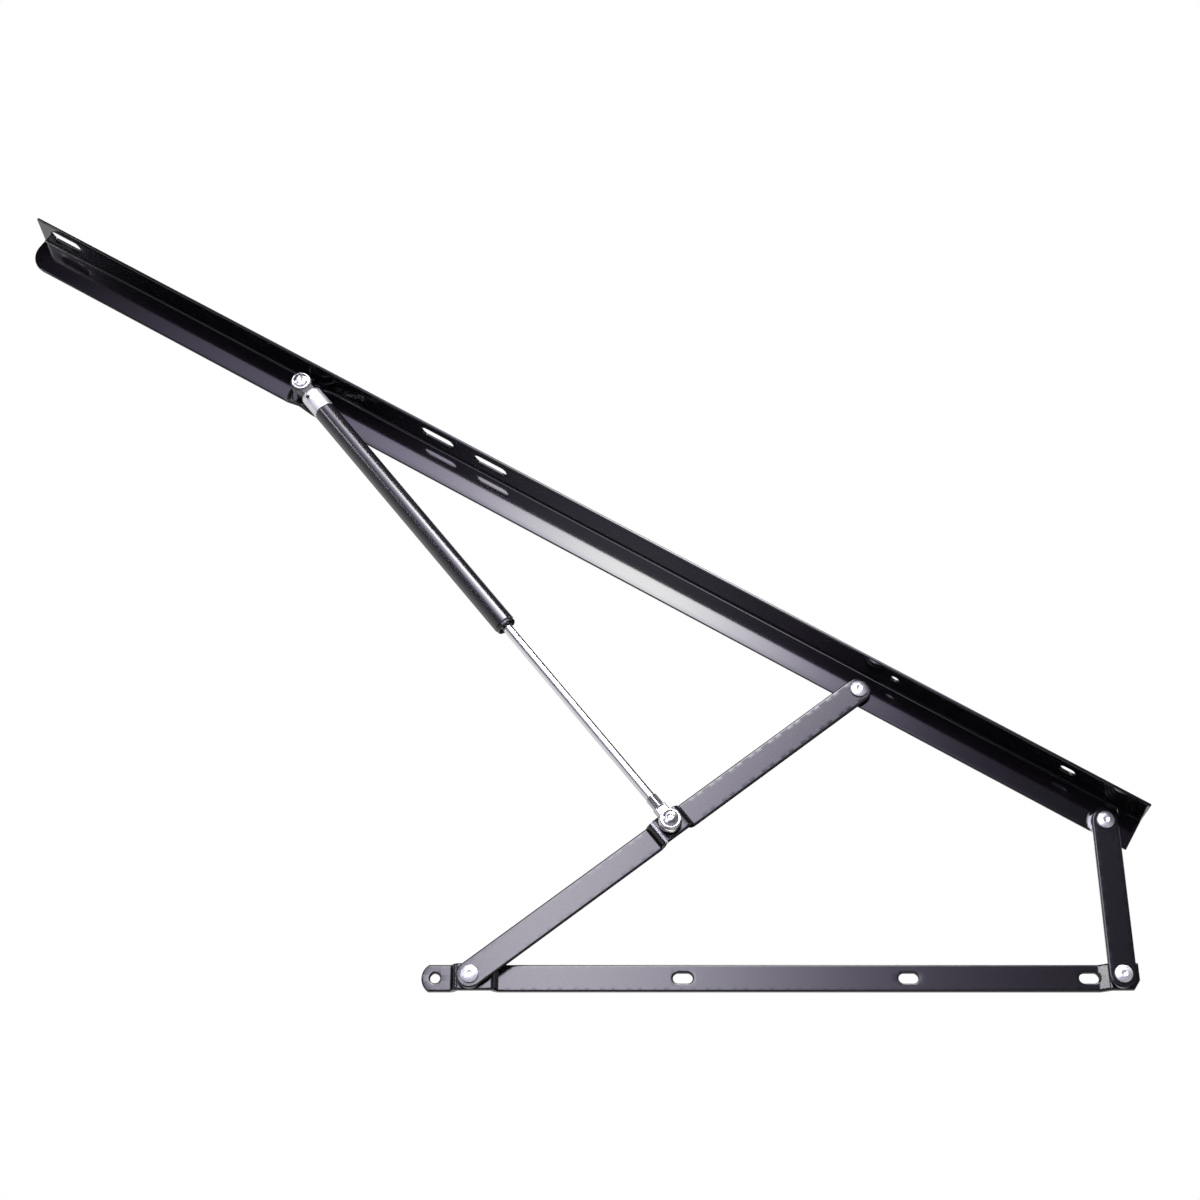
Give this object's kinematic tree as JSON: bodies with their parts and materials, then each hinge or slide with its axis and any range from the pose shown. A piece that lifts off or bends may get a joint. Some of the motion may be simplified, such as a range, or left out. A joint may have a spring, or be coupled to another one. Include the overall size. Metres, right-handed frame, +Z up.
{
  "type": "bed lift mechanism",
  "caption": "Lever lift for one side of a storage bed: a lower bar and top rail joined by two arms, pushed open by a gas spring, modelled open.",
  "frame": {"origin": "centre of the hole in the lower bar's tab, on the face that lies against the bed's side board", "axes": "+X along the lower bar towards the short arm, +Z up, +Y into the side board"},
  "size_m": [1.1233, 0.048, 0.8353],
  "materials": {
    "bar_paint": "satin black powder coat on flat steel bar",
    "rail_paint": "semi-gloss black powder coat on pressed sheet",
    "tube_paint": "satin black enamel on drawn tube",
    "black_fittings": "blackened steel",
    "eye_plastic": "moulded black nylon",
    "rivet_steel": "bright zinc-plated, pressed heads",
    "zinc": "zinc-plated",
    "bolt_steel": "bright nickel-plated",
    "rod_chrome": "ground and polished, hard-chromed",
    "piston_alloy": "turned",
    "seal_rubber": "nitrile"
  },
  "bodies": {
    "base": {"base_rail": "bar_paint", "base_long_rivet": "rivet_steel", "base_long_washer": "zinc", "base_short_rivet_tail": "rivet_steel"},
    "long_arm": {"long_arm": "bar_paint", "lower_collar": "black_fittings"},
    "top_rail": {"top_rail": "rail_paint", "rail_long_rivet": "rivet_steel", "rail_long_washer": "zinc", "rail_short_rivet": "rivet_steel", "upper_bolt": "bolt_steel", "upper_bolt_washer": "zinc", "upper_spacer": "black_fittings", "upper_nut": "zinc"},
    "short_arm": {"short_arm": "bar_paint", "base_short_rivet": "rivet_steel", "base_short_washer": "zinc"},
    "gas_cylinder": {"gas_tube": "tube_paint", "tube_end_plug": "zinc", "end_sleeve": "zinc", "upper_eye": "eye_plastic", "upper_eye_bush": "bolt_steel", "rod_guide": "zinc", "rod_seal": "seal_rubber"},
    "gas_rod": {"gas_rod": "rod_chrome", "piston": "piston_alloy", "piston_ring": "seal_rubber", "piston_nut": "zinc", "lower_eye": "bolt_steel", "lower_eye_bush": "bolt_steel", "lower_bolt": "bolt_steel", "lower_bolt_washer": "zinc"}
  },
  "joints": [
    {"name": "fold", "type": "hinge", "parent": "base", "child": "long_arm", "pos_m": [0.032, -0.0155, 0], "axis": [0, 1, 0], "range_deg": [0, 28.21], "stiffness_Nm_per_rad": 25, "springref_deg": -91.67},
    {"name": "rail_turn", "type": "hinge", "parent": "long_arm", "child": "top_rail", "pos_m": [0.39981, -0.0155, 0.28121], "axis": [0, 1, 0], "range_deg": [-59.3, 0]},
    {"name": "short_arm_turn", "type": "hinge", "parent": "top_rail", "child": "short_arm", "pos_m": [0.62249, -0.0155, 0.147], "axis": [0, 1, 0], "range_deg": [0, 90.71]},
    {"name": "spring_turn", "type": "hinge", "parent": "top_rail", "child": "gas_cylinder", "pos_m": [-0.1586, -0.037, 0.61779], "axis": [0, 1, 0], "range_deg": [-15.91, 0]},
    {"name": "rod_travel", "type": "slide", "parent": "gas_cylinder", "child": "gas_rod", "axis": [0.6154, 0, -0.7882], "range_m": [-0.183, 0]}
  ],
  "couplings": [
    {"joint": "rail_turn", "follows": "fold", "ratio": -2.1016},
    {"joint": "short_arm_turn", "follows": "fold", "ratio": 3.2147},
    {"joint": "spring_turn", "follows": "fold", "ratio": -0.56354},
    {"joint": "rod_travel", "follows": "fold", "m_per_rad": -0.37154}
  ]
}
